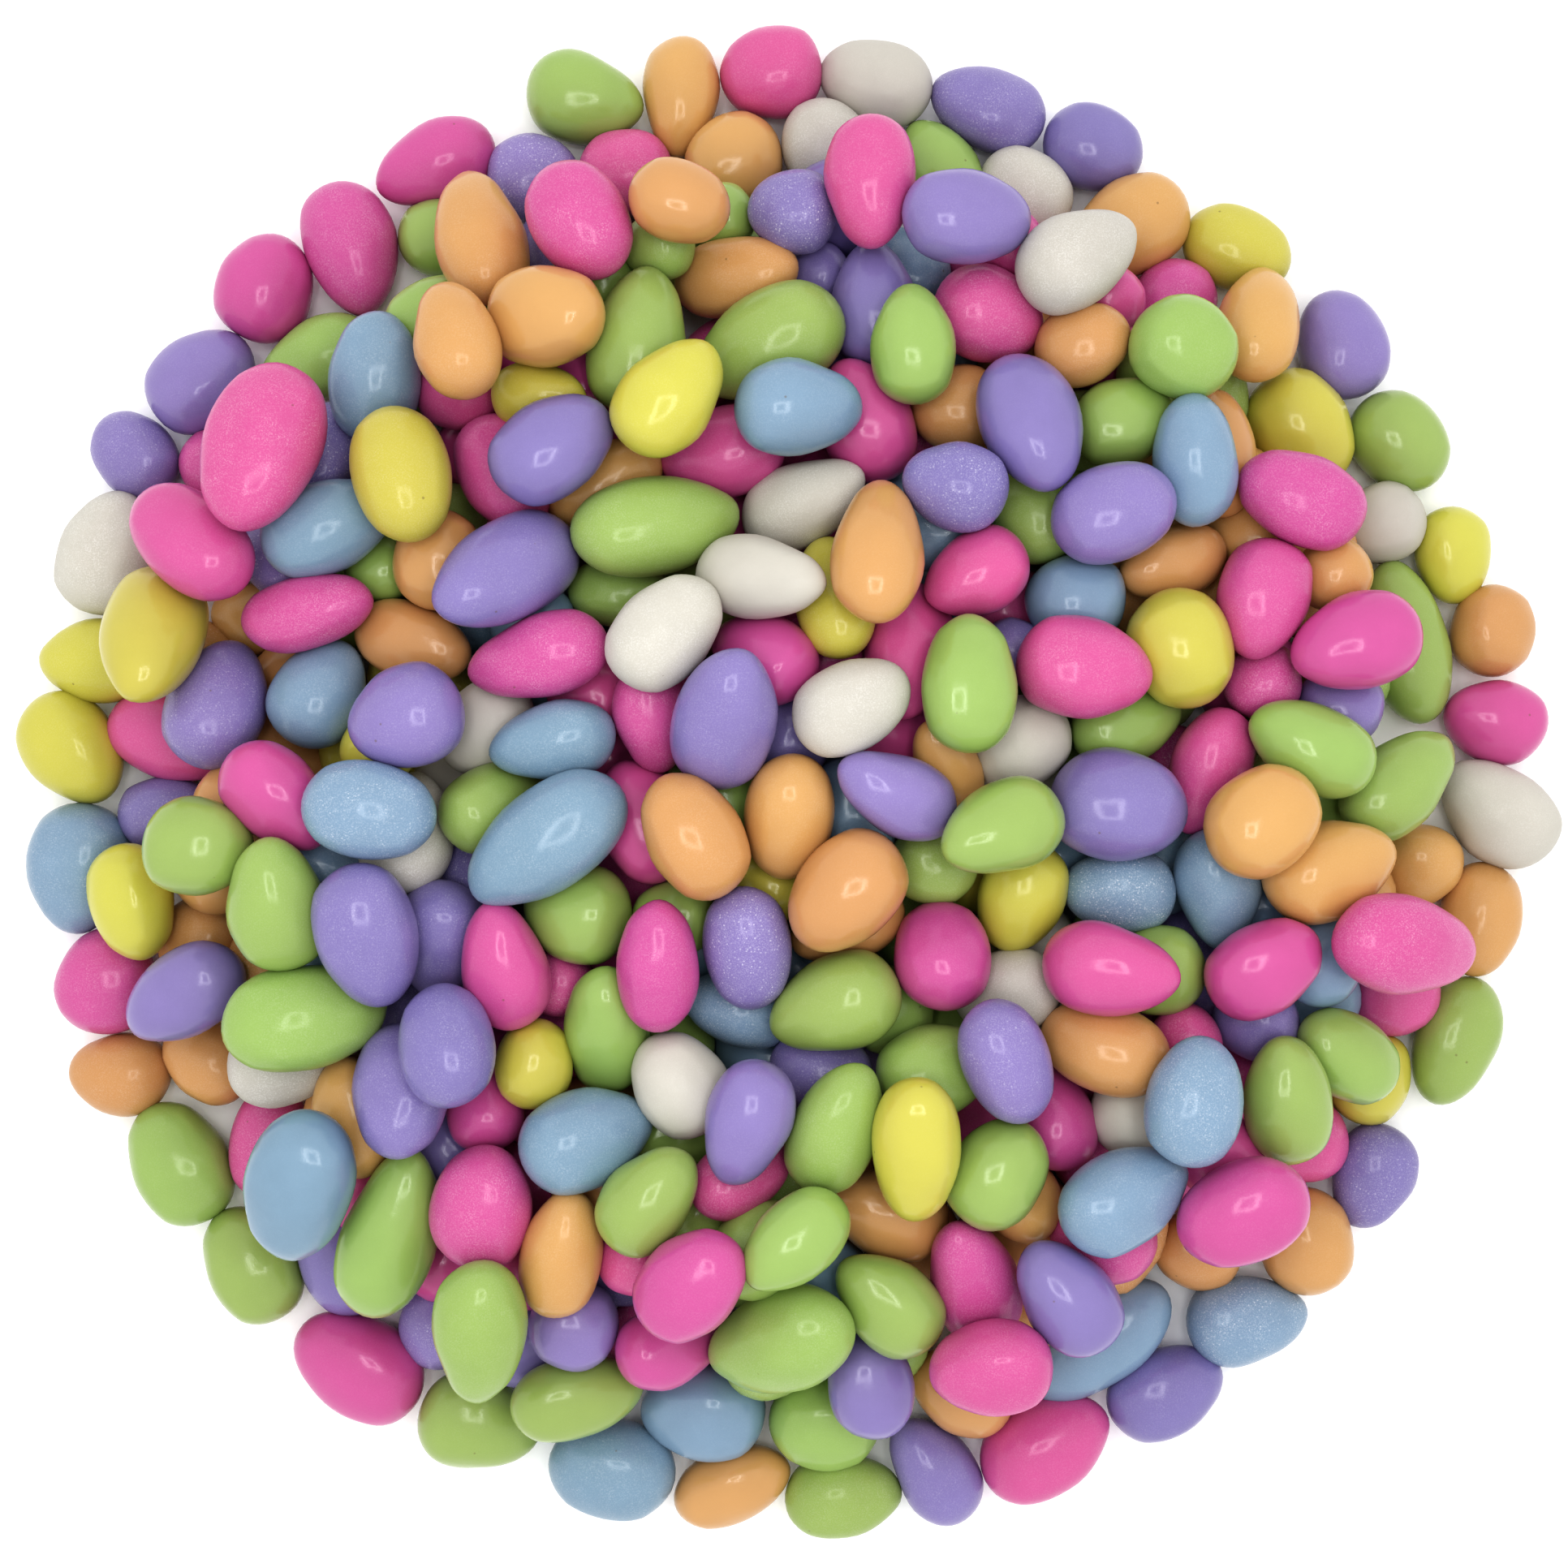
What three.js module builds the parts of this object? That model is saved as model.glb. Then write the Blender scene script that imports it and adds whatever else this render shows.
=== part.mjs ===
// A loose heap of sugared almonds, lying as it was poured out on a flat surface.
// It is one solid, closed underneath by a flat base. Its top follows the outermost
// layer of almonds and the gaps between them, and its outline bulges with the
// almonds at the edge. Millimetres, +Z up. The origin is the middle of the base.

import * as THREE from 'three';

// The heap
const HEAP_DIAMETER = 298; // across the almonds that reach out furthest
const HEAP_HEIGHT = 50; // to the top of the middle almonds
const EDGE_HEIGHT = 17.5; // the edge is one almond deep
const DOME_POWER = 2.6; // above 2, the top is flatter and the edge steeper than a parabola

// One almond in its sugar shell
const ALMOND_LENGTH = 23;
const ALMOND_WIDTH = 17.5;
const LENGTH_SPREAD = 0.18; // the longest almond is this share longer than the average
const WIDTH_SPREAD = 0.1;

// The layer of almonds that shows
const ALMOND_COUNT = 215;
const SCATTER = 3.4; // how far an almond lies off its place in the even pattern
const HEIGHT_SCATTER = 2;
const MOST_TILT = 0.5; // radians out of the heap's surface
const GAP_DEPTH = 8.5; // from the almonds' tops down to the bottom of the gaps
const DEEPEST_NOTCH = 11; // how far the outline comes in between two almonds at the edge

// The mesh over the layer
const RINGS = 34; // about 4.4 mm apart, so that each almond takes four or five
const EVEN_RINGS = 27; // the rings outside these follow the outline more and more
const OUTLINE_STEP = 0.5; // how closely the outline is searched for
const UNDERCUT_HEIGHT = 3; // the almonds at the edge curve in towards the base
const UNDERCUT_DEPTH = 2;
const BASE_INSET = 6;

const GOLDEN_ANGLE = Math.PI * (3 - Math.sqrt(5));

THREE.MathUtils.seededRandom(20);

function spread(amount) {
  return amount * (2 * THREE.MathUtils.seededRandom() - 1);
}

// Height of the almonds' tops at a distance from the heap's middle
function topHeight(distance) {
  const share = Math.min(distance / (HEAP_DIAMETER / 2), 1);
  return EDGE_HEIGHT + (HEAP_HEIGHT - EDGE_HEIGHT) * (1 - share ** DOME_POWER);
}

// How steeply the heap falls there, in radians
function slope(distance) {
  return Math.atan(topHeight(distance) - topHeight(distance + 1));
}

// Almonds lie evenly along a spiral, each moved a little, turned and tipped at random
function makeLayer() {
  const almonds = [];
  const outermost = (HEAP_DIAMETER - ALMOND_WIDTH) / 2;
  for (let i = 0; i < ALMOND_COUNT; i++) {
    const length = ALMOND_LENGTH * (1 + spread(LENGTH_SPREAD));
    const width = ALMOND_WIDTH * (1 + spread(WIDTH_SPREAD));
    const distance = outermost * Math.sqrt((i + 0.5) / ALMOND_COUNT);
    const angle = i * GOLDEN_ANGLE;
    const height = topHeight(distance) - width / 2 + spread(HEIGHT_SCATTER);

    const tilt = spread(MOST_TILT);
    const axis = new THREE.Vector3(Math.cos(tilt), 0, Math.sin(tilt));
    axis.applyAxisAngle(new THREE.Vector3(0, 0, 1), spread(Math.PI));
    const acrossSlope = new THREE.Vector3(-Math.sin(angle), Math.cos(angle), 0);
    axis.applyAxisAngle(acrossSlope, slope(distance));

    almonds.push({
      centre: new THREE.Vector3(
        distance * Math.cos(angle) + spread(SCATTER),
        distance * Math.sin(angle) + spread(SCATTER),
        Math.max(height, width / 2),
      ),
      axis,
      halfLength: length / 2,
      halfWidth: width / 2,
    });
  }
  return almonds;
}

// Height of one almond's upper side at x, y, where it is an ellipsoid about its axis
function almondHeight(almond, x, y) {
  const { centre, axis, halfLength, halfWidth } = almond;
  const dx = x - centre.x;
  const dy = y - centre.y;
  const round = 1 / halfWidth ** 2;
  const stretch = 1 / halfLength ** 2 - round;
  const along = dx * axis.x + dy * axis.y;
  const a = stretch * axis.z ** 2 + round;
  const b = 2 * stretch * along * axis.z;
  const c = stretch * along ** 2 + round * (dx ** 2 + dy ** 2) - 1;
  const root = b ** 2 - 4 * a * c;
  return root < 0 ? 0 : centre.z + (-b + Math.sqrt(root)) / (2 * a);
}

const layer = makeLayer();

function layerHeight(x, y) {
  return Math.max(...layer.map((almond) => almondHeight(almond, x, y)));
}

// How far the outermost almond reaches in a direction
function outlineRadius(angle) {
  const least = HEAP_DIAMETER / 2 - DEEPEST_NOTCH;
  let radius = HEAP_DIAMETER / 2 + ALMOND_LENGTH;
  while (radius > least && layerHeight(radius * Math.cos(angle), radius * Math.sin(angle)) === 0) {
    radius -= OUTLINE_STEP;
  }
  return radius;
}

// A ring's distance from the middle: round inside, and the outline's own at the edge
function ringDistance(ring, angle) {
  const round = ((HEAP_DIAMETER / 2) * ring) / RINGS;
  const outline = (outlineRadius(angle) * ring) / RINGS;
  const share = THREE.MathUtils.smoothstep(ring, EVEN_RINGS, RINGS);
  return THREE.MathUtils.lerp(round, outline, share);
}

// Rings of 6, 12, 18... points around the middle keep the triangles alike in size
function ringAngle(ring, step) {
  return ((step % (6 * ring)) / (6 * ring)) * 2 * Math.PI;
}

function ringStart(ring) {
  return ring === 0 ? 0 : 1 + 3 * ring * (ring - 1);
}

function ringPoint(ring, step) {
  return ring === 0 ? 0 : ringStart(ring) + (step % (6 * ring));
}

function makeTop(positions, triangles) {
  positions.push(0, 0, layerHeight(0, 0));
  for (let ring = 1; ring <= RINGS; ring++) {
    for (let step = 0; step < 6 * ring; step++) {
      const angle = ringAngle(ring, step);
      const distance = ringDistance(ring, angle);
      const x = distance * Math.cos(angle);
      const y = distance * Math.sin(angle);
      const gapBottom = Math.min(topHeight(distance) - GAP_DEPTH, topHeight(distance) / 2);
      positions.push(x, y, Math.max(layerHeight(x, y), gapBottom));
    }
  }
  for (let ring = 0; ring < RINGS; ring++) {
    for (let sector = 0; sector < 6; sector++) {
      for (let i = 0; i <= ring; i++) {
        const inner = sector * ring + i;
        const outer = sector * (ring + 1) + i;
        const corner = ringPoint(ring + 1, outer + 1);
        triangles.push(ringPoint(ring, inner), ringPoint(ring + 1, outer), corner);
        if (i < ring) {
          triangles.push(ringPoint(ring, inner), corner, ringPoint(ring, inner + 1));
        }
      }
    }
  }
}

// The sides run in under the almonds at the edge, down to the flat base
function makeSidesAndBase(positions, triangles) {
  const sides = 6 * RINGS;
  const levels = [
    [UNDERCUT_DEPTH, UNDERCUT_HEIGHT],
    [BASE_INSET, 0],
  ];
  let above = ringStart(RINGS);
  for (const [inset, height] of levels) {
    const below = positions.length / 3;
    for (let step = 0; step < sides; step++) {
      const angle = ringAngle(RINGS, step);
      const distance = outlineRadius(angle) - inset;
      positions.push(distance * Math.cos(angle), distance * Math.sin(angle), height);
    }
    for (let step = 0; step < sides; step++) {
      const next = (step + 1) % sides;
      triangles.push(above + step, below + step, below + next);
      triangles.push(above + step, below + next, above + next);
    }
    above = below;
  }
  const middle = positions.length / 3;
  positions.push(0, 0, 0);
  for (let step = 0; step < sides; step++) {
    triangles.push(middle, above + ((step + 1) % sides), above + step);
  }
}

function makeHeap() {
  const positions = [];
  const triangles = [];
  makeTop(positions, triangles);
  makeSidesAndBase(positions, triangles);

  const geometry = new THREE.BufferGeometry();
  geometry.setAttribute('position', new THREE.Float32BufferAttribute(positions, 3));
  geometry.setIndex(triangles);
  geometry.computeVertexNormals();
  geometry.computeBoundingBox();
  const middle = geometry.boundingBox.getCenter(new THREE.Vector3());
  return geometry.translate(-middle.x, -middle.y, 0);
}

const almondHeap = new THREE.Mesh(
  makeHeap(),
  new THREE.MeshStandardMaterial({ color: '#e58bb5', roughness: 0.45, metalness: 0 }),
);
almondHeap.name = 'almond_heap';

const group = new THREE.Group();
group.add(almondHeap);

export default group;
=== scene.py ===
"""A loose heap of sugared almonds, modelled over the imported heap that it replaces.

The almonds that show lie close to where the photograph has them. The rest fill the heap
under them. All of them sink and are pushed apart in small steps, which ends near to how
they would rest but not in balance. Metres, +Z up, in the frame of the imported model.
"""

import collections
import functools
import math

import bpy
import numpy as np
from bpy.props import FloatProperty, FloatVectorProperty, IntProperty, PointerProperty
from mathutils import Matrix, Vector


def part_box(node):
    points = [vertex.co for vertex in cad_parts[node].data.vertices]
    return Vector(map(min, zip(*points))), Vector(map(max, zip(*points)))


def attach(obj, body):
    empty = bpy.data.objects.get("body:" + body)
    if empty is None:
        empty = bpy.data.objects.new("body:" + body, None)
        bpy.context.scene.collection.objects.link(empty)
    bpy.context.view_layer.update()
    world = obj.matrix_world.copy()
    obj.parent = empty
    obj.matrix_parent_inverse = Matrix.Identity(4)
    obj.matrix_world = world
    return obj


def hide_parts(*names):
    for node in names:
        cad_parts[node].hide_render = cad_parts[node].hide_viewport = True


bl_info = {
    "name": "Heap of Sugared Almonds",
    "version": (1, 0, 0),
    "blender": (4, 5, 0),
    "location": "View3D > Sidebar > Almonds",
    "description": "Packs and models a loose heap of sugared almonds in seven colours",
    "category": "Add Mesh",
}

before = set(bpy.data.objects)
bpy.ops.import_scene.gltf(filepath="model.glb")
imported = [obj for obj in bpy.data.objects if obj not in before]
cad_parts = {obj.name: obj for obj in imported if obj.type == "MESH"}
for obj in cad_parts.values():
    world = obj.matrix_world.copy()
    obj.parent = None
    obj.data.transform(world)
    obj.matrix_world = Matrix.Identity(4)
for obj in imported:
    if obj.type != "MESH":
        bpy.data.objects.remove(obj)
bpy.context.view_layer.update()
HEAP_LOW, HEAP_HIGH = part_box("almond_heap")

MM = 0.001

# The camera looks straight down. Its height is a guess from how much larger the almonds
# in the middle look than those at the edge
PHOTO_PIXELS = 1932
SENSOR_WIDTH = 36.0
FOCAL_LENGTH = 37.16
CAMERA_PLACE = Vector((-0.23 * MM, -0.78 * MM, 320 * MM))
FOCAL_PIXELS = PHOTO_PIXELS * FOCAL_LENGTH / SENSOR_WIDTH

# The heap is a flat dome whose edge is one almond deep
DOME_RADIUS = (HEAP_HIGH[0] - HEAP_LOW[0]) / 2 + 3.5 * MM
EDGE_HEIGHT = 17.5 * MM
DOME_POWER = 2.6

# Almonds that the photograph shows, by the colour of their shells. A row gives the
# narrow end and the blunt end of one almond and its width, in pixels of the photograph,
# and how deep it lies: 0 on top, 1 partly covered, 2 mostly covered, and below 0 over
# others on top. A bent one ends with 1 or -1 for the side that bulges, to the left or
# right of the way to its blunt end
SEEN_ALMONDS = {
    "pink": (
        (464, 232, 610, 175, 98, 0), (452, 386, 415, 226, 116, 0), (355, 294, 300, 416, 114, 0),
        (755, 336, 674, 209, 121, 0), (710, 200, 826, 206, 106, 1), (889, 98, 1017, 82, 108, 0),
        (1072, 308, 1070, 145, 114, 0), (1447, 425, 1445, 313, 102, 1), (1348, 415, 1378, 352, 86, 2.6),
        (1283, 410, 1152, 365, 115, 0), (1205, 330, 1275, 300, 85, 2), (320, 580, 221, 562, 88, 2),
        (284, 650, 362, 455, 138, 0), (177, 612, 297, 724, 118, 0), (458, 733, 302, 774, 92, 0),
        (655, 655, 590, 508, 112, 1), (520, 512, 625, 480, 100, 2), (700, 440, 725, 500, 80, 2),
        (577, 835, 749, 785, 105, 0), (815, 580, 968, 543, 112, 1), (1035, 443, 1096, 592, 116, 1),
        (1143, 740, 1262, 676, 106, 0), (1104, 888, 1128, 722, 110, 1), (885, 781, 997, 839, 108, 1),
        (1420, 838, 1253, 808, 128, 0), (1537, 812, 1571, 667, 114, 0), (1529, 578, 1676, 650, 110, 0),
        (1591, 815, 1746, 768, 122, 0), (1782, 872, 1901, 905, 105, 0), (278, 944, 131, 882, 100, 1),
        (393, 1043, 283, 928, 110, 1), (143, 1142, 118, 1273, 116, 1), (812, 952, 790, 818, 98, 1),
        (600, 1111, 640, 1265, 108, 0), (763, 940, 826, 1090, 115, 1), (808, 1110, 813, 1269, 102, 0),
        (1150, 1114, 1170, 1243, 120, 0), (1458, 1028, 1520, 875, 98, 1), (1455, 1208, 1285, 1183, 118, 0),
        (1505, 845, 1603, 830, 95, 2), (1808, 1175, 1654, 1154, 125, 0), (1623, 1152, 1492, 1232, 112, 0),
        (340, 1338, 326, 1480, 98, 1), (675, 1240, 715, 1190, 85, 2), (598, 1305, 604, 1418, 98, 1),
        (600, 1414, 587, 1558, 127, -0.7), (735, 1542, 820, 1552, 90, 2), (970, 1422, 862, 1500, 92, 1),
        (1295, 1312, 1320, 1443, 98, 1), (1410, 1280, 1497, 1245, 90, 2), (1455, 1531, 1608, 1456, 122, 0),
        (1290, 1515, 1425, 1535, 108, 2), (905, 1535, 799, 1627, 121, 0), (888, 1640, 760, 1678, 98, 1),
        (1176, 1507, 1220, 1640, 114, 0), (1145, 1693, 1297, 1675, 113, 0),
        (1362, 1738, 1213, 1823, 112, 0), (369, 1638, 517, 1726, 118, 0), (1534, 1415, 1668, 1392, 104, 1),
        (1722, 1150, 1712, 1281, 108, 1),
    ),
    "green": (
        (602, 292, 489, 293, 92, 1), (322, 480, 462, 412, 100, 1), (794, 138, 650, 110, 108, 0),
        (775, 320, 865, 305, 88, 2), (478, 415, 590, 365, 92, 2), (806, 330, 768, 510, 122, 0.5),
        (1128, 148, 1195, 262, 90, 1), (862, 470, 1036, 378, 129, 0), (1122, 349, 1127, 499, 106, 0),
        (870, 300, 925, 275, 80, 2), (1515, 462, 1400, 396, 122, 0), (911, 631, 703, 664, 122, 0),
        (425, 710, 510, 695, 85, 2), (698, 730, 822, 728, 92, 1.5), (1195, 757, 1192, 928, 120, 0),
        (1450, 500, 1322, 535, 108, 1), (1370, 450, 1445, 480, 85, 2), (1250, 560, 1300, 695, 110, 1.5),
        (1768, 597, 1680, 494, 106, 0), (1706, 690, 1752, 893, 98, 1, 1), (314, 1044, 179, 1040, 123, 0.5),
        (325, 1034, 355, 1192, 122, 0), (477, 1238, 272, 1268, 130, 0), (665, 962, 545, 1020, 105, 1),
        (655, 1100, 772, 1150, 125, 1), (770, 1125, 875, 1120, 95, 2), (740, 1193, 752, 1337, 106, 1),
        (1162, 1052, 1301, 991, 117, 0), (1203, 1080, 1098, 1046, 105, 1), (949, 1268, 1107, 1208, 122, 0),
        (1453, 870, 1322, 915, 98, 1), (1365, 1215, 1487, 1190, 112, 1), (1542, 882, 1690, 958, 108, 0),
        (1781, 907, 1666, 1022, 108, 0), (184, 1362, 260, 1504, 112, 0), (513, 1415, 452, 1619, 120, 0),
        (847, 1420, 750, 1532, 110, 0), (1050, 1265, 1146, 1235, 110, 2), (1064, 1312, 997, 1466, 111, 0),
        (1212, 1297, 1087, 1342, 118, 1), (1272, 1388, 1187, 1505, 118, 0),
        (920, 1580, 1038, 1478, 100, 0.5), (272, 1491, 348, 1623, 106, 0), (594, 1725, 590, 1560, 117, 0.5),
        (1037, 1555, 1150, 1653, 112, 0.5), (880, 1680, 1042, 1625, 128, 0),
        (1583, 1277, 1590, 1432, 109, 0), (1766, 1360, 1822, 1205, 97, 0, -1),
        (1112, 1835, 967, 1850, 96, 0), (664, 1771, 517, 1736, 116, 0.5), (793, 1704, 629, 1739, 98, 0.5),
        (1085, 1754, 945, 1747, 116, 1), (1610, 1262, 1706, 1336, 105, 0.5),
    ),
    "violet": (
        (712, 212, 597, 225, 105, 1), (1147, 108, 1287, 161, 98, 0), (1268, 275, 1112, 260, 112, 0),
        (920, 262, 1030, 276, 106, 1), (1072, 296, 1078, 455, 108, 1), (975, 345, 1040, 325, 80, 2),
        (1404, 205, 1286, 158, 100, 0), (302, 420, 196, 518, 110, 0), (128, 517, 203, 603, 98, 0),
        (1632, 360, 1676, 490, 106, 0), (312, 650, 385, 735, 88, 2), (425, 500, 385, 610, 85, 2),
        (295, 792, 242, 942, 119, 0), (748, 505, 612, 598, 118, 0), (540, 752, 702, 659, 125, 0),
        (433, 912, 568, 857, 132, 0), (1300, 602, 1241, 443, 124, 0), (1112, 584, 1241, 614, 110, 0),
        (912, 804, 875, 963, 130, 0), (1448, 604, 1297, 659, 121, 0), (1218, 775, 1278, 825, 85, 2),
        (262, 985, 147, 1012, 92, 1.5), (163, 1268, 292, 1180, 107, 0), (476, 1238, 428, 1066, 124, 0),
        (535, 1225, 550, 1085, 112, 1), (1034, 945, 1174, 1010, 102, 0), (930, 1242, 912, 1093, 110, 0),
        (1464, 1003, 1293, 981, 140, 0), (1600, 850, 1700, 890, 95, 1.5), (488, 1428, 500, 1263, 120, 1),
        (540, 1214, 560, 1363, 118, 0), (395, 1490, 455, 1622, 104, 2), (898, 1460, 946, 1308, 111, 0),
        (950, 1300, 1075, 1345, 105, 1.5), (1267, 1381, 1213, 1235, 110, 0),
        (1497, 1262, 1598, 1250, 105, 2), (1266, 1537, 1361, 1659, 114, 0),
        (1668, 1512, 1715, 1388, 100, 0.5), (1502, 1678, 1368, 1747, 102, 1),
        (1106, 1753, 1193, 1868, 99, 0), (1056, 1644, 1088, 1771, 107, 0), (650, 1632, 762, 1633, 106, 1),
        (492, 1588, 556, 1668, 98, 2),
    ),
    "orange": (
        (573, 215, 609, 368, 114, 0), (899, 266, 775, 231, 100, 0), (741, 382, 611, 400, 122, 0),
        (545, 350, 578, 485, 108, 0), (838, 194, 842, 46, 96, 0), (848, 232, 955, 160, 112, 1),
        (984, 325, 833, 352, 95, 0), (1322, 323, 1465, 249, 118, 1), (1556, 336, 1545, 464, 101, 0),
        (1393, 398, 1278, 445, 100, 1), (252, 765, 345, 790, 88, 2), (682, 640, 816, 560, 90, 2),
        (545, 628, 535, 752, 112, 1), (578, 814, 441, 768, 96, 0), (1090, 597, 1074, 761, 117, 0),
        (1122, 512, 1235, 492, 106, 1.5), (1497, 482, 1508, 640, 92, 1.5), (1380, 715, 1508, 675, 90, 1),
        (1480, 640, 1580, 675, 85, 2), (1604, 738, 1680, 678, 92, 1), (1837, 718, 1837, 833, 99, 0),
        (255, 1100, 260, 1215, 105, 2), (813, 957, 897, 1100, 121, 0), (965, 1080, 980, 932, 112, 0),
        (985, 1160, 1099, 1037, 126, 0), (975, 1165, 1112, 1110, 95, 2), (1140, 885, 1185, 995, 85, 2),
        (1607, 957, 1502, 1065, 127, 0), (1716, 1040, 1560, 1103, 122, 0), (1735, 1118, 1765, 1018, 100, 1),
        (1815, 1203, 1833, 1060, 94, 0.5), (88, 1315, 208, 1332, 102, 0), (205, 1268, 298, 1347, 95, 1),
        (418, 1300, 446, 1450, 100, 1.5), (705, 1467, 680, 1620, 102, 0), (1023, 1476, 1168, 1514, 114, 1),
        (1283, 1265, 1441, 1318, 112, 0.5), (1418, 1540, 1530, 1552, 98, 1.5),
        (1290, 1440, 1240, 1525, 95, 2), (1613, 1466, 1604, 1600, 112, 0.5), (972, 1804, 833, 1857, 89, 0),
        (1125, 1690, 1250, 1732, 112, 1),
    ),
    "yellow": (
        (1587, 335, 1460, 279, 98, 0.5), (51, 817, 190, 814, 106, 1), (168, 860, 210, 709, 122, 0),
        (510, 666, 480, 504, 122, 0), (880, 428, 772, 551, 118, 0), (722, 490, 607, 485, 85, 1),
        (1015, 665, 1040, 808, 100, 1), (1481, 870, 1431, 727, 129, 0), (1646, 593, 1564, 462, 118, 1),
        (1795, 745, 1783, 624, 90, 0), (134, 982, 48, 860, 112, 0), (178, 1183, 146, 1040, 102, 0.5),
        (430, 950, 500, 915, 95, 2), (1234, 1172, 1287, 1041, 107, 1), (905, 1060, 985, 1120, 95, 2),
        (665, 1255, 652, 1369, 96, 0), (1127, 1502, 1130, 1329, 110, 0), (1720, 1268, 1654, 1378, 98, 2),
    ),
    "blue": (
        (470, 383, 453, 545, 112, 0), (480, 617, 325, 683, 112, 0), (428, 792, 360, 916, 115, 0),
        (1063, 500, 905, 502, 120, 0), (1463, 484, 1480, 649, 102, 0), (1262, 735, 1384, 742, 115, 1),
        (538, 1012, 372, 985, 122, 0), (92, 1150, 106, 987, 122, 1), (602, 926, 759, 900, 100, 0),
        (582, 1103, 764, 968, 128, 0), (1505, 1170, 1493, 1018, 108, 1), (1308, 1095, 1452, 1100, 105, 1),
        (353, 1545, 386, 1376, 132, 0), (802, 1374, 642, 1430, 124, 0), (842, 1226, 978, 1254, 98, 1),
        (1488, 1277, 1456, 1437, 118, 0), (1458, 1432, 1312, 1520, 118, 0), (1030, 305, 1165, 345, 100, 2),
        (610, 780, 705, 745, 80, 2), (1647, 1110, 1612, 1238, 102, 1.5),
        (1277, 1726, 1438, 1590, 102, 1, -1), (1613, 1609, 1465, 1637, 109, 0.5),
        (676, 1798, 832, 1823, 118, 0), (790, 1732, 946, 1743, 115, 1),
    ),
    "white": (
        (1008, 82, 1146, 122, 102, 0.5), (1008, 232, 1022, 127, 106, 1), (1215, 197, 1314, 272, 98, 1),
        (1396, 281, 1262, 355, 118, 0), (156, 603, 111, 755, 118, 1), (877, 720, 762, 836, 118, 0),
        (1066, 586, 918, 653, 105, 0), (1017, 723, 863, 703, 105, 0), (1119, 835, 981, 905, 112, 0),
        (1664, 650, 1764, 628, 100, 1), (555, 945, 645, 850, 105, 1.5), (516, 948, 492, 1098, 116, 1),
        (1203, 955, 1309, 880, 112, 1), (1788, 948, 1902, 1058, 116, 0), (798, 1279, 876, 1393, 115, 0.5),
        (1178, 1235, 1303, 1200, 105, 2), (1385, 1305, 1378, 1425, 105, 2),
    ),
}

# Middles of almonds that the photograph only shows through gaps, in its pixels
GLIMPSED_ALMONDS = {
    "pink": ((735, 850), (1020, 820), (1110, 905), (1255, 755), (1500, 1420), (555, 1560), (630, 1550)),
    "green": ((905, 975), (1620, 1000), (880, 1500), (915, 1515), (830, 1405), (740, 352), (610, 375)),
    "violet": ((580, 1060), (965, 905), (555, 1400)),
    "orange": ((310, 985), (735, 1470)),
    "blue": ((410, 1065), (1150, 650), (1050, 1000), (1020, 1575)),
    "white": ((360, 1310),),
}
GLIMPSED_DEPTH = 2.3
GLIMPSED_REACH = 68  # pixels from the middle to either end
GLIMPSED_WIDTH = 108
SHELLS = tuple(SEEN_ALMONDS)

# Packing
HIDDEN_SPACING = 19.5 * MM  # of the even rows in which the hidden almonds start
HIDDEN_LAYER = 14.5 * MM
HIDDEN_LAYERS = 3
LAYER_SHIFT = 0.3  # of the spacing, from each layer to the next
HIDDEN_COVER = 27 * MM  # of heap above the middle of the highest of them
HIDDEN_REACH = 125 * MM  # from the heap's middle
SIZE_SPREAD = 0.15
SHAKE = 3 * MM
STEEPEST = 0.6  # radians
PACKING_STEPS = 480
CLOSEST_LOOK = 8  # steps between looks at which almonds are neighbours
NEAR = 34 * MM
BESIDE = 24 * MM  # between the middles of two almonds
FALL = 0.2 * MM  # in the first step, and less and less in those that follow
RIM = 130 * MM  # from the heap's middle. Almonds further out lie on the floor
INNER_RIM = 114 * MM  # and from here on, those that are partly covered
BEDDED = 0.1  # how far an almond on the floor gives way to a push up, as a share
TOP_FREEDOM = 0.25  # the same for one on top and a push sideways
LOWER_FREEDOM = 0.5  # and for one that is partly or mostly covered
TOP_HOLD = 0.25  # how far a step takes an almond on top back to its rays, as a share
LOWER_HOLD = 0.12
LOWEST_HOLD = 0.05
PUSH = 0.9  # share of an overlap that a step takes away
NEAR_FLOOR = 1.2 * MM
LONGEST = 32 * MM
MOST_STRETCH = 1.75  # of length over width
LEAST_STRETCH = 1.03
LEAST_LEAN = 1.02  # of length over length from above, which every shown almond is let have
BEAD_PLACES = np.array((-1.0, -0.5, 0.0, 0.5, 1.0))  # along an almond, 1 at its blunt end
EGG_TAPER = 0.07

Sizes = collections.namedtuple("Sizes", "almond_length almond_width flatness heap_height layer_depth seed")


def dome_height(x, y, height):
    """Height of the heap's top over x, y, without the gaps between the almonds."""
    share = np.clip(np.hypot(x, y) / DOME_RADIUS, 0, 1)
    return EDGE_HEIGHT + (height - EDGE_HEIGHT) * (1 - share**DOME_POWER)


def on_rays(pixels, height):
    """Where the camera's rays through pixels of the photograph pass a height."""
    scale = (CAMERA_PLACE.z - height) / FOCAL_PIXELS
    x = CAMERA_PLACE.x + (pixels[..., 0] - PHOTO_PIXELS / 2) * scale
    y = CAMERA_PLACE.y - (pixels[..., 1] - PHOTO_PIXELS / 2) * scale
    return np.stack((x, y), axis=-1)


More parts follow.
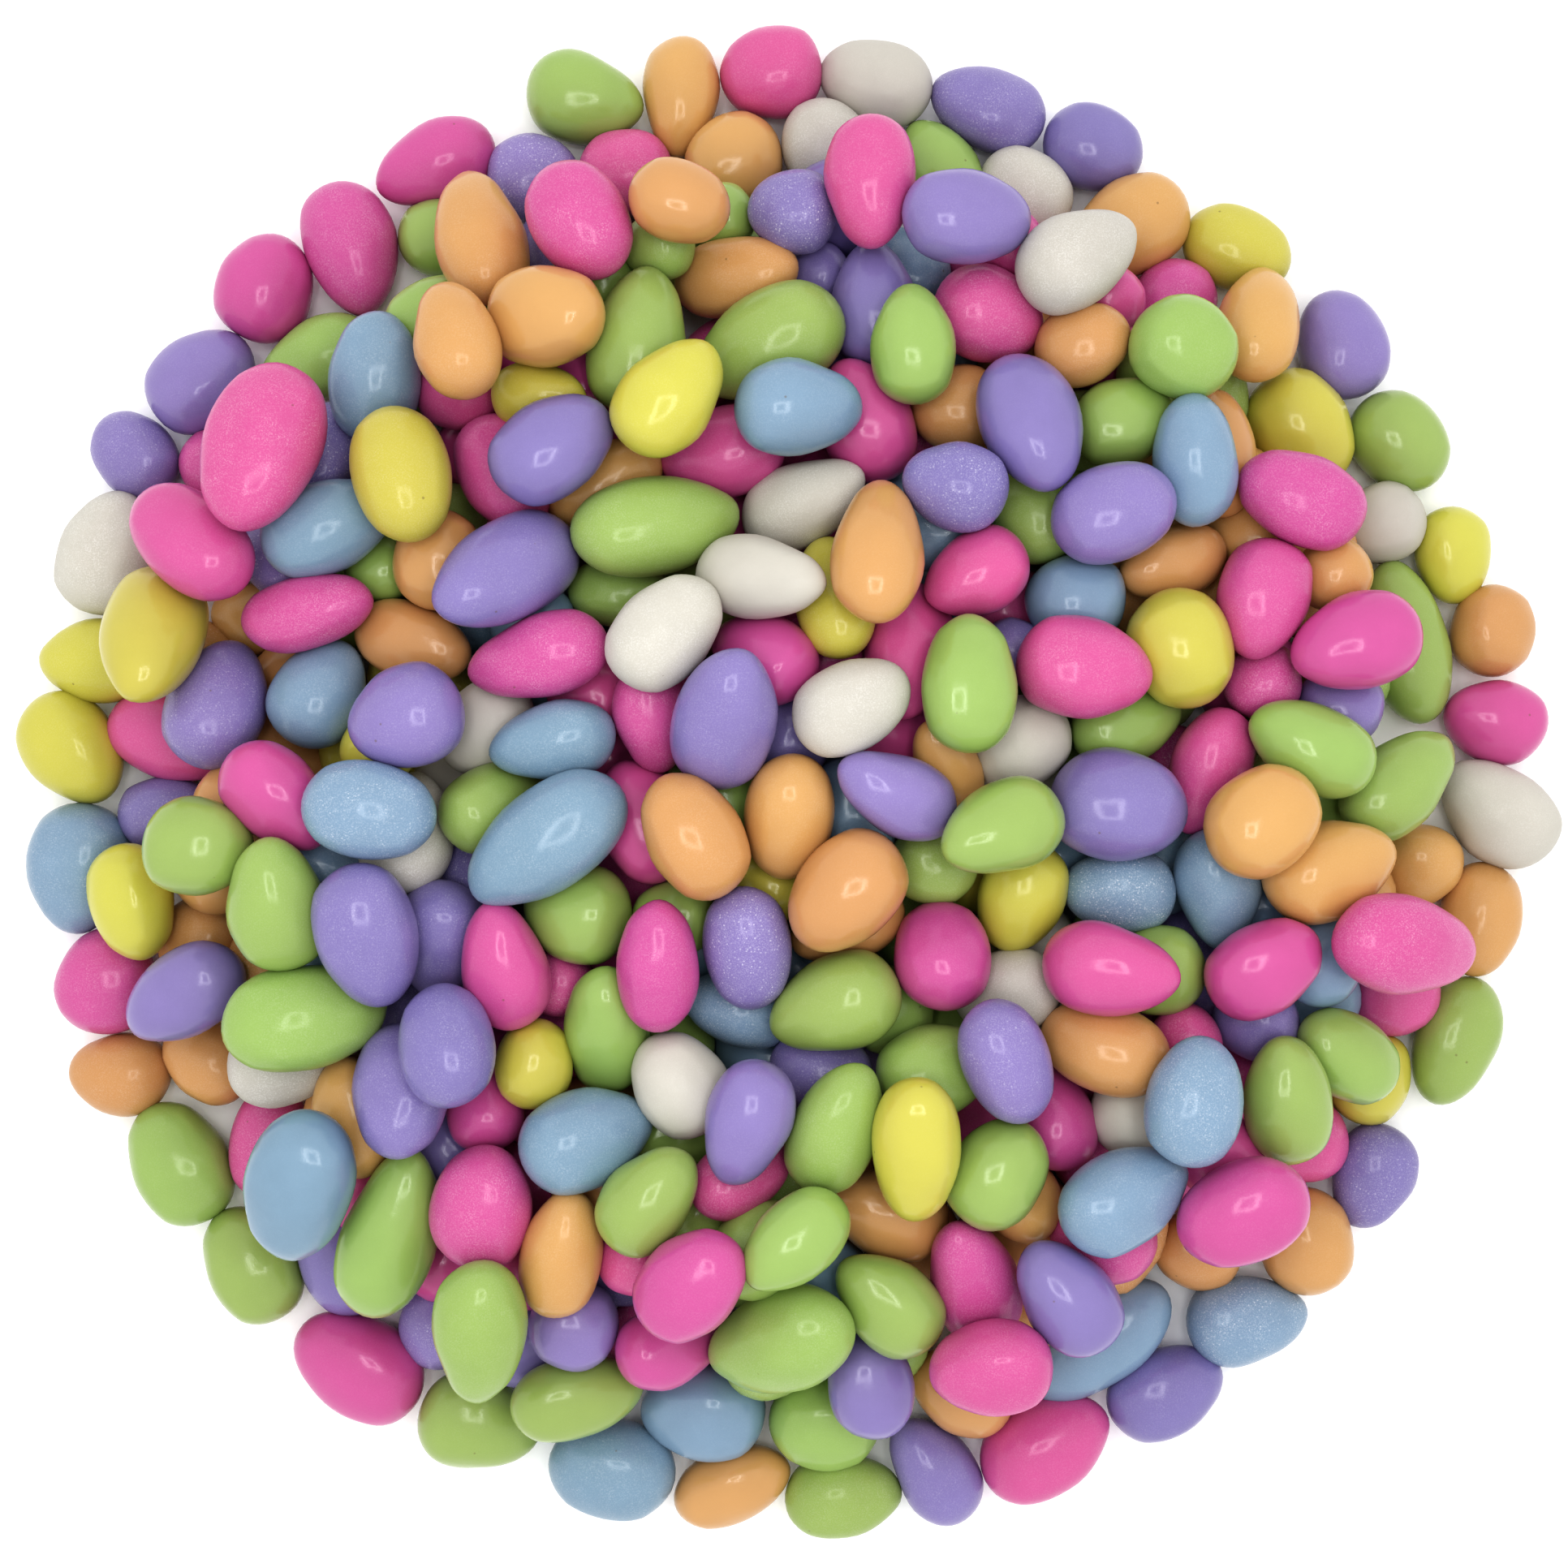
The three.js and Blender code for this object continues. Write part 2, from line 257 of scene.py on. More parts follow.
def seen_rows(random):
    """Shell, ends and width in pixels, depth and bulge of each almond in the photograph."""
    rows = []
    for shell, almonds in SEEN_ALMONDS.items():
        for narrow_x, narrow_y, blunt_x, blunt_y, width, depth, *bulge in almonds:
            ends = ((narrow_x, narrow_y), (blunt_x, blunt_y))
            rows.append((shell, ends, width, depth, bulge[0] if bulge else 0))
    for shell, middles in GLIMPSED_ALMONDS.items():
        for x, y in middles:
            angle = random.uniform(0, 2 * math.pi)
            reach = (GLIMPSED_REACH * math.cos(angle), GLIMPSED_REACH * math.sin(angle))
            ends = ((x - reach[0], y - reach[1]), (x + reach[0], y + reach[1]))
            rows.append((shell, ends, GLIMPSED_WIDTH, GLIMPSED_DEPTH, 0))
    return rows


def hidden_middles(sizes, random):
    """Places under the almonds that show, in even rows and layers, each moved a little."""
    steps = math.ceil(HIDDEN_REACH / HIDDEN_SPACING) + 1
    middles = []
    for layer in range(HIDDEN_LAYERS):
        z = sizes.almond_width / 2 + layer * HIDDEN_LAYER
        for row in range(-steps, steps + 1):
            for column in range(-steps, steps + 1):
                x = (column + 0.5 * (row % 2) + LAYER_SHIFT * layer) * HIDDEN_SPACING
                y = (row * math.sqrt(0.75) + LAYER_SHIFT * layer) * HIDDEN_SPACING
                covered = z + HIDDEN_COVER < dome_height(x, y, sizes.heap_height)
                if covered and math.hypot(x, y) < HIDDEN_REACH:
                    middles.append((x, y, z))
    return np.array(middles) + random.uniform(-SHAKE, SHAKE, (len(middles), 3))


class Packing:
    """Almonds that sink and are pushed apart in small steps, until they nearly rest.

    An almond is its narrow tip and its blunt tip, and the round beads between the two
    stand for its body. One that the photograph shows is held near the camera's rays
    through its tips, and rises and sinks along them. The others move freely.
    """

    def __init__(self, sizes):
        self.random = np.random.default_rng(sizes.seed)
        rows = seen_rows(self.random)
        self.shown = len(rows)
        self.shells = [row[0] for row in rows]
        self.pixels = np.array([row[1] for row in rows], float)
        self.pixel_width = np.array([row[2] for row in rows], float)
        self.depth = np.array([row[3] for row in rows], float)
        self.bulge = [row[4] for row in rows]
        self.roundness = (1 + sizes.flatness) / 2

        middle = on_rays(self.pixels.mean(axis=1), sizes.heap_height / 2)
        top = dome_height(middle[:, 0], middle[:, 1], sizes.heap_height)
        middle_height = top - self.depth * sizes.layer_depth - sizes.almond_width / 2
        out = np.linalg.norm(on_rays(self.pixels.mean(axis=1), sizes.almond_width / 2), axis=1)
        bedded = (out > RIM) | ((out > INNER_RIM) & (self.depth >= 1))
        middle_height[bedded] = 0
        shown_tips = np.zeros((self.shown, 2, 3))
        shown_tips[:, :, 2] = np.maximum(middle_height, sizes.almond_width / 2)[:, None]

        middles = hidden_middles(sizes, self.random)
        self.hidden = len(middles)
        spread = self.random.uniform(-SIZE_SPREAD, SIZE_SPREAD, (2, self.hidden))
        self.length = sizes.almond_length * (1 + spread[0])
        self.width = np.concatenate((np.zeros(self.shown), sizes.almond_width * (1 + spread[1] / 2)))
        turn = self.random.uniform(0, 2 * math.pi, self.hidden)
        tilt = self.random.uniform(-STEEPEST, STEEPEST, self.hidden)
        way = np.stack((np.cos(turn) * np.cos(tilt), np.sin(turn) * np.cos(tilt), np.sin(tilt)), axis=1)
        half = way * self.length[:, None] / 2
        self.tips = np.concatenate((shown_tips, np.stack((middles - half, middles + half), axis=1)))

        self.freedom = np.ones((self.shown + self.hidden, 3))
        self.freedom[: self.shown, :2] = np.where(self.depth < 1, TOP_FREEDOM, LOWER_FREEDOM)[:, None]
        self.freedom[: self.shown][bedded, 2] = BEDDED
        lower_hold = np.where(self.depth < 2, LOWER_HOLD, LOWEST_HOLD)
        self.hold = np.where(self.depth < 1, TOP_HOLD, lower_hold)[:, None, None]
        self.keep_to_rays(1)

    def keep_to_rays(self, hold):
        tips = self.tips[: self.shown]
        rays = on_rays(self.pixels, tips[:, :, 2])
        tips[:, :, :2] += hold * (rays - tips[:, :, :2])
        distance = CAMERA_PLACE.z - tips[:, :, 2].mean(axis=1)
        self.width[: self.shown] = self.pixel_width * distance / FOCAL_PIXELS

    def keep_lengths(self):
        """A shown almond's tips may only differ so much in height, and a hidden one keeps its length."""
        tips = self.tips[: self.shown]
        flat = np.linalg.norm(tips[:, 1, :2] - tips[:, 0, :2], axis=1)
        longest = np.minimum(MOST_STRETCH * self.width[: self.shown], LONGEST)
        most = np.sqrt(np.maximum(longest, flat * LEAST_LEAN) ** 2 - flat**2)
        rise = tips[:, 1, 2] - tips[:, 0, 2]
        extra = (rise - np.clip(rise, -most, most)) / 2
        tips[:, 0, 2] += extra
        tips[:, 1, 2] -= extra

        tips = self.tips[self.shown :]
        axis = tips[:, 1] - tips[:, 0]
        length = np.linalg.norm(axis, axis=1)
        extra = axis * ((length - self.length) / length / 2)[:, None]
        tips[:, 0] += extra
        tips[:, 1] -= extra

    def beads(self):
        """Middles and radii of every almond's beads, and how far each is on the way to the blunt tip."""
        length = np.linalg.norm(self.tips[:, 1] - self.tips[:, 0], axis=1)
        radius = self.width / 2 * self.roundness
        half = np.maximum(length / 2, radius * LEAST_STRETCH)
        reach = (half**2 - radius**2) / half
        share = 0.5 + BEAD_PLACES * (reach / length)[:, None]
        narrow, blunt = self.tips[:, 0, None], self.tips[:, 1, None]
        middles = narrow + share[..., None] * (blunt - narrow)
        round_off = 1 - (BEAD_PLACES * reach[:, None]) ** 2 / (half * reach)[:, None]
        radii = radius[:, None] * np.sqrt(round_off) * (1 + EGG_TAPER * BEAD_PLACES)
        return middles, radii, share

    def neighbours(self):
        middles = self.tips.mean(axis=1)
        gaps = np.linalg.norm(middles[:, None] - middles[None], axis=2)
        return np.nonzero(np.triu(gaps < NEAR, 1))

    def push_apart(self, first, second):
        """Moves each pair of neighbours apart where their beads sink into each other most."""
        middles, radii, share = self.beads()
        between = middles[first][:, :, None] - middles[second][:, None]
        distance = np.linalg.norm(between, axis=3)
        overlap = radii[first][:, :, None] + radii[second][:, None] - distance
        deepest = overlap.reshape(len(first), -1).argmax(axis=1)
        pair = np.arange(len(first))
        bead_1, bead_2 = np.divmod(deepest, len(BEAD_PLACES))
        touching = overlap[pair, bead_1, bead_2] > 0
        pair, bead_1, bead_2 = pair[touching], bead_1[touching], bead_2[touching]
        first, second = first[touching], second[touching]
        way = between[pair, bead_1, bead_2] / distance[pair, bead_1, bead_2][:, None]

        lever_1 = np.stack((1 - share[first, bead_1], share[first, bead_1]), axis=1)
        lever_2 = np.stack((1 - share[second, bead_2], share[second, bead_2]), axis=1)
        move_1, move_2 = self.freedom[first] * way, self.freedom[second] * way
        give_1 = (lever_1**2).sum(axis=1) * (move_1 * way).sum(axis=1)
        give_2 = (lever_2**2).sum(axis=1) * (move_2 * way).sum(axis=1)
        amount = (overlap[pair, bead_1, bead_2] / (give_1 + give_2))[:, None, None]
        push = np.zeros_like(self.tips)
        touches = np.zeros(len(self.tips))
        np.add.at(push, first, amount * lever_1[..., None] * move_1[:, None])
        np.add.at(push, second, -amount * lever_2[..., None] * move_2[:, None])
        np.add.at(touches, first, 1)
        np.add.at(touches, second, 1)

        almond = np.arange(len(self.tips))
        lowest = (radii - middles[..., 2]).argmax(axis=1)
        sunk = np.maximum((radii - middles[..., 2])[almond, lowest], 0)
        lever = np.stack((1 - share[almond, lowest], share[almond, lowest]), axis=1)
        push[:, :, 2] += (sunk / (lever**2).sum(axis=1))[:, None] * lever
        touches += sunk > 0
        self.tips += PUSH * push / np.sqrt(np.maximum(touches, 1))[:, None, None]

    def settle(self):
        for step in range(PACKING_STEPS):
            if step % CLOSEST_LOOK == 0:
                first, second = self.neighbours()
            left = 1 - step / PACKING_STEPS
            self.tips[:, :, 2] -= FALL * left
            self.push_apart(first, second)
            self.keep_to_rays(self.hold)
            self.keep_lengths()

    def shell_beside(self, hidden, other):
        """Shell of the nearest partly covered almond, or another one's where none is near."""
        middles = self.tips.mean(axis=1)
        lower = np.nonzero(self.depth >= 1)[0]
        gaps = np.linalg.norm(middles[lower] - middles[hidden], axis=1)
        return self.shells[lower[gaps.argmin()] if gaps.min() < BESIDE else other]


@functools.cache
def settled_packing(sizes):
    packing = Packing(sizes)
    packing.settle()
    return packing


# Shapes of almonds in their shells. Each has how much it tapers to its narrow end, how
# full its ends are, how uneven it is and how far it bends, in degrees. A round one is
# for an almond that is less than ROUND times as long as wide, and a long one for more
# than LONG times
ROUND = 1.24
LONG = 1.5
SHAPES = {
    "round": ((0.15, 0.05, 0.05, 0), (0.30, 0.02, 0.05, 0), (0.05, 0.07, 0.05, 0)),
    "middling": (
        (0.20, 0.03, 0.05, 0), (0.35, 0.02, 0.06, 0), (0.45, 0.01, 0.05, 0),
        (0.28, 0.06, 0.06, 0), (0.40, 0.05, 0.06, 8), (0.10, 0.05, 0.03, 6),
    ),
    "long": ((0.25, 0.02, 0.05, 0), (0.40, 0.03, 0.06, 8), (0.12, 0.05, 0.06, 5)),
    "bent": ((0.15, 0.03, 0.04, 38),),
}
SHOWN_CUTS = 11
HIDDEN_CUTS = 6
FORM_SIZE = (1.4, 1, 0.9)  # while it gets its lumps
FORM_SPACING = 3  # so that each form has lumps of its own
LUMP_SIZE = 0.55
ROLL_SPREAD = 0.35  # radians
LEAST_FROST = 0.2


def deselect():
    for other in bpy.context.selected_objects:
        other.select_set(False)


def add_modifier(form, kind, **settings):
    bpy.ops.object.modifier_add(type=kind)
    modifier = form.modifiers[-1]
    for name, value in settings.items():
        setattr(modifier, name, value)
    bpy.ops.object.modifier_apply(modifier=modifier.name)


def model_form(taper, fullness, unevenness, bend, number, cuts):
    """One almond in its shell, 1 long, wide and high, with its narrow end at -X."""
    deselect()
    bpy.ops.mesh.primitive_cube_add(size=1)
    form = bpy.context.object
    bpy.ops.object.mode_set(mode="EDIT")
    bpy.ops.mesh.subdivide(number_cuts=cuts)
    bpy.ops.transform.tosphere(value=1)
    bpy.ops.transform.resize(value=FORM_SIZE)
    bpy.ops.transform.translate(value=(0, FORM_SPACING * number, 0))
    bpy.ops.object.mode_set(mode="OBJECT")

    lumps = bpy.data.textures.new("lumps", "CLOUDS")
    lumps.noise_scale = LUMP_SIZE
    lumps.noise_depth = 0
    add_modifier(form, "DISPLACE", texture=lumps, texture_coords="LOCAL", strength=unevenness, mid_level=0.5)
    bpy.data.textures.remove(lumps)
    bpy.ops.object.origin_set(type="ORIGIN_GEOMETRY", center="BOUNDS")
    bpy.ops.object.location_clear()

    add_modifier(form, "CAST", cast_type="CUBOID", factor=fullness)
    add_modifier(form, "SIMPLE_DEFORM", deform_method="TAPER", deform_axis="X", factor=taper)
    if bend:
        add_modifier(form, "SIMPLE_DEFORM", deform_method="BEND", deform_axis="Z", angle=math.radians(bend))
    bpy.ops.object.origin_set(type="ORIGIN_GEOMETRY", center="BOUNDS")
    form.location = (0, 0, 0)
    form.dimensions = (1, 1, 1)
    bpy.ops.object.transform_apply(location=True, rotation=False, scale=True)
    bpy.ops.object.shade_smooth()
    return form


def model_forms(cuts):
    """Every shape's forms, by the shape's name."""
    forms = {}
    number = 0
    for name, shapes in SHAPES.items():
        forms[name] = []
        for shape in shapes:
            forms[name].append(model_form(*shape, number, cuts))
            number += 1
    return forms


def pick_form(forms, length, width, bulge, random):
    if bulge:
        name = "bent"
    elif length < ROUND * width:
        name = "round"
    elif length > LONG * width:
        name = "long"
    else:
        name = "middling"
    return forms[name][random.integers(len(forms[name]))]


def almond_matrix(narrow, blunt, width, flatness, roll):
    """Turns a form of 1 unit into an almond between its tips, with its flat side up."""
    narrow, blunt = Vector(narrow), Vector(blunt)
    along = blunt - narrow
    length = max(along.length, width)
    along.normalize()
    side = Vector((0, 0, 1)).cross(along).normalized()
    side.rotate(Matrix.Rotation(roll, 3, along))
    up = along.cross(side)
    turned = Matrix((along * length, side * width, up * width * flatness)).transposed()
    return Matrix.Translation((narrow + blunt) / 2) @ turned.to_4x4()


def set_attribute(mesh, name, kind, value):
    """Gives every vertex the same value of a named attribute."""
    attribute = mesh.attributes.new(name, kind, "POINT")
    field = "value" if kind == "FLOAT" else "color"
    attribute.data.foreach_set(field, np.tile(value, len(mesh.vertices)))


def join_almonds(copies, name, material):
    """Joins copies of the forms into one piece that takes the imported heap's place."""
    deselect()
    for copy in copies:
        copy.select_set(True)
    bpy.context.view_layer.objects.active = copies[0]
    bpy.ops.object.join()
    piece = copies[0]
    piece.name = piece.data.name = name
    piece.data.materials.clear()
    piece.data.materials.append(material)
    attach(piece, "root")
    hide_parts("almond_heap")
    return piece


def copy_almond(packing, almond, forms, sizes, random):
    """A copy of a form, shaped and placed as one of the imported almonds."""
    narrow, blunt = packing.tips[almond]
    width = packing.width[almond]
    bulge = packing.bulge[almond] if almond < packing.shown else 0
    length = np.linalg.norm(blunt - narrow)
    form = pick_form(forms, length, width, bulge, random)
    copy = form.copy()
    copy.data = form.data.copy()
    roll = random.uniform(-ROLL_SPREAD, ROLL_SPREAD)
    if bulge < 0 or (not bulge and random.random() < 0.5):
        roll += math.pi
    copy.data.transform(almond_matrix(narrow, blunt, width, sizes.flatness, roll))
    lowest = min(vertex.co.z for vertex in copy.data.vertices)
    if lowest < NEAR_FLOOR:
        copy.data.transform(Matrix.Translation((0, 0, -lowest)))
    set_attribute(copy.data, "tone", "FLOAT", random.uniform(-1, 1))
    set_attribute(copy.data, "frost", "FLOAT", random.uniform(LEAST_FROST, 1) ** 2)
    bpy.context.collection.objects.link(copy)
    return copy


def remove_forms(forms):
    for form in sum(forms.values(), []):
        bpy.data.meshes.remove(form.data)


def linear(hex_colour):
    """Linear RGBA of an sRGB hex colour."""
    levels = [int(hex_colour[i : i + 2], 16) / 255 for i in (1, 3, 5)]
    rgb = [level / 12.92 if level <= 0.04045 else ((level + 0.055) / 1.055) ** 2.4 for level in levels]
    return (*rgb, 1)


def add_node(material, kind, values=None, links=None, **settings):
    """Adds a shader node with its settings, its sockets' values and the links that come in."""
    tree = material.node_tree
    node = tree.nodes.new(kind)
    for name, value in settings.items():
        setattr(node, name, value)
    for socket, value in (values or {}).items():
        node.inputs[socket].default_value = value
    for socket, source in (links or {}).items():
        tree.links.new(source, node.inputs[socket])
    return node


def new_material(name):
    material = bpy.data.materials.new(name)
    material.use_nodes = True
    material.node_tree.nodes.clear()
    return material


# What shows on a sugar shell
TONE_SPREAD = 0.05  # of lightness, from one almond to another
HUE_SPREAD = 0.008
PATCH = 6 * MM  # of slightly paler and deeper colour
GRAIN = 0.24 * MM  # sugar crystals just under the polish
FROST_PATCH = 4 * MM  # where the crystals show more or less
FLECK_SPACING = 0.8 * MM  # of the odd larger crystal
FLECK = 0.2 * MM
CRYSTAL_DEPTH = 0.02 * MM
RIPPLE = 2.2 * MM  # unevenness from tumbling in the pan
RIPPLE_DEPTH = 0.08 * MM
PIT_SPACING = 8 * MM
PIT = 0.3 * MM
PIT_STRENGTH = 0.5
FROSTED_GLOSS = 0.55  # of the gloss, where the frost is thickest
PIT_COLOUR = "#6E5A3C"
FROST_COLOUR = "#FFFFFF"


def add_spots(material, coords, spacing, radius, strength):
    """Round spots with soft edges, of full strength in their middles and none between them."""
    cells = add_node(
        material, "ShaderNodeTexVoronoi", {"Scale": 1 / spacing}, {"Vector": coords}
    ).outputs["Distance"]
    edge = radius / spacing
    return add_node(
        material,
        "ShaderNodeMapRange",
        {"From Min": 0.5 * edge, "From Max": edge, "To Min": strength, "To Max": 0},
        {"Value": cells},
    ).outputs[0]


def sugar_shell(name, colour, frost, flecks, patches, gloss):
    """Syrup dried in thin coats on a tumbling almond, then polished with wax.

    The shell is opaque and evenly coloured under a fine frost of crystals, and mirrors
    small bright lamps softly. A colour of None is read from the mesh, one an almond.
    """
    material = new_material(name)
    coords = add_node(material, "ShaderNodeTexCoord").outputs["Object"]
    tone = add_node(material, "ShaderNodeAttribute", attribute_name="tone").outputs["Fac"]
    frostiness = add_node(material, "ShaderNodeAttribute", attribute_name="frost").outputs["Fac"]

    uneven = add_node(
        material,
        "ShaderNodeTexNoise",
        {"Scale": 1 / PATCH, "Detail": 6, "Roughness": 0.6},
        {"Vector": coords},
    ).outputs["Fac"]
    lightness = add_node(
        material, "ShaderNodeMath", {1: patches, 2: 1 - patches / 2}, {0: uneven}, operation="MULTIPLY_ADD"
    ).outputs[0]
    lightness = add_node(
        material, "ShaderNodeMath", {1: TONE_SPREAD}, {0: tone, 2: lightness}, operation="MULTIPLY_ADD"
    ).outputs[0]
    hue = add_node(
        material, "ShaderNodeMath", {1: HUE_SPREAD, 2: 0.5}, {0: tone}, operation="MULTIPLY_ADD"
    ).outputs[0]
    toned = add_node(material, "ShaderNodeHueSaturation", links={"Value": lightness, "Hue": hue})
    if colour is None:
        shell = add_node(material, "ShaderNodeAttribute", attribute_name="shell")
        material.node_tree.links.new(shell.outputs["Color"], toned.inputs["Color"])
    else:
        toned.inputs["Color"].default_value = colour

    crystals = add_node(
        material, "ShaderNodeTexNoise", {"Scale": 1 / GRAIN, "Detail": 1}, {"Vector": coords}
    ).outputs["Fac"]
    bloom = add_node(
        material, "ShaderNodeTexNoise", {"Scale": 1 / FROST_PATCH, "Detail": 1}, {"Vector": coords}
    ).outputs["Fac"]
    thickness = add_node(
        material, "ShaderNodeMath", links={0: bloom, 1: frostiness}, operation="MULTIPLY"
    ).outputs[0]
    specks = add_node(
        material,
        "ShaderNodeMapRange",
        {"From Min": 0.45, "From Max": 0.75, "To Min": 0, "To Max": frost},
        {"Value": crystals},
    ).outputs[0]
    flecked = add_spots(material, coords, FLECK_SPACING, FLECK, flecks)
    frosting = add_node(
        material, "ShaderNodeMath", links={0: flecked, 1: frostiness, 2: specks}, operation="MULTIPLY_ADD"
    ).outputs[0]
    frosting = add_node(
        material, "ShaderNodeMath", links={0: frosting, 1: thickness}, operation="MULTIPLY"
    ).outputs[0]
    frosted = add_node(
        material,
        "ShaderNodeMix",
        {7: linear(FROST_COLOUR)},
        {0: frosting, 6: toned.outputs[0]},
        data_type="RGBA",
    ).outputs[2]

    pits = add_spots(material, coords, PIT_SPACING, PIT, PIT_STRENGTH)
    surface = add_node(
        material, "ShaderNodeMix", {7: linear(PIT_COLOUR)}, {0: pits, 6: frosted}, data_type="RGBA"
    ).outputs[2]

    ripples = add_node(
        material, "ShaderNodeTexNoise", {"Scale": 1 / RIPPLE, "Detail": 1}, {"Vector": coords}
    ).outputs["Fac"]
    rippled = add_node(
        material, "ShaderNodeBump", {"Strength": 0.5, "Distance": RIPPLE_DEPTH}, {"Height": ripples}
    ).outputs[0]
    bumps = add_node(
        material,
        "ShaderNodeBump",
        {"Strength": 0.5, "Distance": CRYSTAL_DEPTH},
        {"Height": crystals, "Normal": rippled},
    ).outputs[0]

    polish = add_node(
        material,
        "ShaderNodeMapRange",
        {"From Min": 0, "From Max": 1, "To Min": gloss, "To Max": FROSTED_GLOSS * gloss},
        {"Value": frostiness},
    ).outputs[0]

    shader = add_node(
        material,
        "ShaderNodeBsdfPrincipled",
        {
            "Roughness": 0.55,
            "IOR": 1.5,
            "Specular IOR Level": 0.15,
            "Coat Roughness": 0.15,
            "Coat IOR": 1.5,
        },
        {"Base Color": surface, "Normal": bumps, "Coat Weight": polish, "Coat Normal": bumps},
    )
    add_node(material, "ShaderNodeOutputMaterial", links={"Surface": shader.outputs[0]})
    return material


# How each colour's shell differs: its frost of crystals, its flecks, how uneven its
# colour is and its gloss
SHELL_LOOKS = {
    "pink": (0.25, 0.12, 0.12, 0.8),
    "green": (0.12, 0.05, 0.12, 0.9),
    "violet": (0.3, 0.6, 0.16, 0.8),
    "orange": (0.12, 0.05, 0.08, 0.9),
    "yellow": (0.12, 0, 0.08, 0.9),
    "blue": (0.4, 0.6, 0.16, 0.8),
    "white": (0.5, 0.1, 0.14, 0.12),
}
CORE_LOOKS = (0.3, 0.3, 0.10, 0.7)


class SugaredAlmondSizes(bpy.types.PropertyGroup):
    almond_length: FloatProperty(
        name="Almond length",
        description="Length of an average hidden almond in its shell",
        default=23 * MM,
        unit="LENGTH",
    )
    almond_width: FloatProperty(
        name="Almond width",
        description="Width of an average hidden almond in its shell",
        default=17.5 * MM,
        unit="LENGTH",
    )
    flatness: FloatProperty(
        name="Thickness over width",
        description="How thick an almond is, as a share of its width",
        default=0.9,
        subtype="FACTOR",
        min=0.5,
        max=1,
    )
    heap_height: FloatProperty(
        name="Heap height",
        description="Height of the heap over the floor in the middle",
        default=HEAP_HIGH[2] - 2 * MM,
        unit="LENGTH",
    )
    layer_depth: FloatProperty(
        name="Layer depth",
        description="How much lower a partly covered almond lies than those on top",
        default=7.5 * MM,
        unit="LENGTH",
    )
    seed: IntProperty(
        name="Seed",
        description="Number that the random sizes, turns and tones come from",
        default=11,
    )


def shell_colour(name, hex_colour):
    return FloatVectorProperty(
        name=name,
        description=f"Colour of the {name.lower()}",
        default=linear(hex_colour),
        size=4,
        subtype="COLOR",
        min=0,
        max=1,
    )


class SugaredAlmondColours(bpy.types.PropertyGroup):
    pink: shell_colour("Pink shells", "#C45C94")
    green: shell_colour("Green shells", "#97AE65")
    violet: shell_colour("Violet shells", "#877BAD")
    orange: shell_colour("Orange shells", "#C89C67")
    yellow: shell_colour("Yellow shells", "#C1BA58")
    blue: shell_colour("Blue shells", "#8199AE")
    white: shell_colour("White shells", "#C1BDB4")


class SugaredAlmondStage(bpy.types.PropertyGroup):
    floor: FloatVectorProperty(
        name="Floor colour",
        description="Colour of the plain floor",
        default=linear("#FCFCFC"),
        size=4,
        subtype="COLOR",
        min=0,
        max=1,
    )
    daylight: FloatProperty(
        name="Daylight",
        description="Strength of the white light from all round",
        default=0.82,
        min=0,
    )
    softbox_power: FloatProperty(
        name="Softbox power",
        description="Power of the large soft lamp overhead",
        default=2.0,
        unit="POWER",
        min=0,
    )
    ring_power: FloatProperty(
        name="Ring power",
        description="Power of the square ring of lamps round the camera",
        default=0.2,
        unit="POWER",
        min=0,
    )


def read_sizes(context):
    properties = context.scene.sugared_almond_sizes
    return Sizes(*(getattr(properties, name) for name in Sizes._fields))


class ALMONDS_OT_add_shown(bpy.types.Operator):
    """Add the almonds that show, a piece for each colour of shell"""

    bl_idname = "almonds.add_shown"
    bl_label = "Add Almonds That Show"
    bl_options = {"REGISTER", "UNDO"}

    def execute(self, context):
        sizes = read_sizes(context)
        packing = settled_packing(sizes)
        random = np.random.default_rng(sizes.seed + 1)
        forms = model_forms(SHOWN_CUTS)
        colours = context.scene.sugared_almond_colours
        for shell in SHELLS:
            material = sugar_shell(f"{shell}_sugar_shell", getattr(colours, shell), *SHELL_LOOKS[shell])
            almonds = [i for i in range(packing.shown) if packing.shells[i] == shell]
            copies = [copy_almond(packing, i, forms, sizes, random) for i in almonds]
            join_almonds(copies, f"{shell}_almonds", material)
        remove_forms(forms)
        return {"FINISHED"}


class ALMONDS_OT_add_core(bpy.types.Operator):
    """Add the heap's core, the almonds of all colours under those that show"""

    bl_idname = "almonds.add_core"
    bl_label = "Add Core of Hidden Almonds"
    bl_options = {"REGISTER", "UNDO"}

    def execute(self, context):
        sizes = read_sizes(context)
        packing = settled_packing(sizes)
        random = np.random.default_rng(sizes.seed + 2)
        forms = model_forms(HIDDEN_CUTS)
        colours = context.scene.sugared_almond_colours
        copies = []
        for almond in range(packing.shown, packing.shown + packing.hidden):
            copy = copy_almond(packing, almond, forms, sizes, random)
            shell = packing.shell_beside(almond, random.integers(packing.shown))
            set_attribute(copy.data, "shell", "FLOAT_COLOR", getattr(colours, shell))
            copies.append(copy)
        material = sugar_shell("mixed_sugar_shells", None, *CORE_LOOKS)
        join_almonds(copies, "heap_core", material)
        remove_forms(forms)
        return {"FINISHED"}


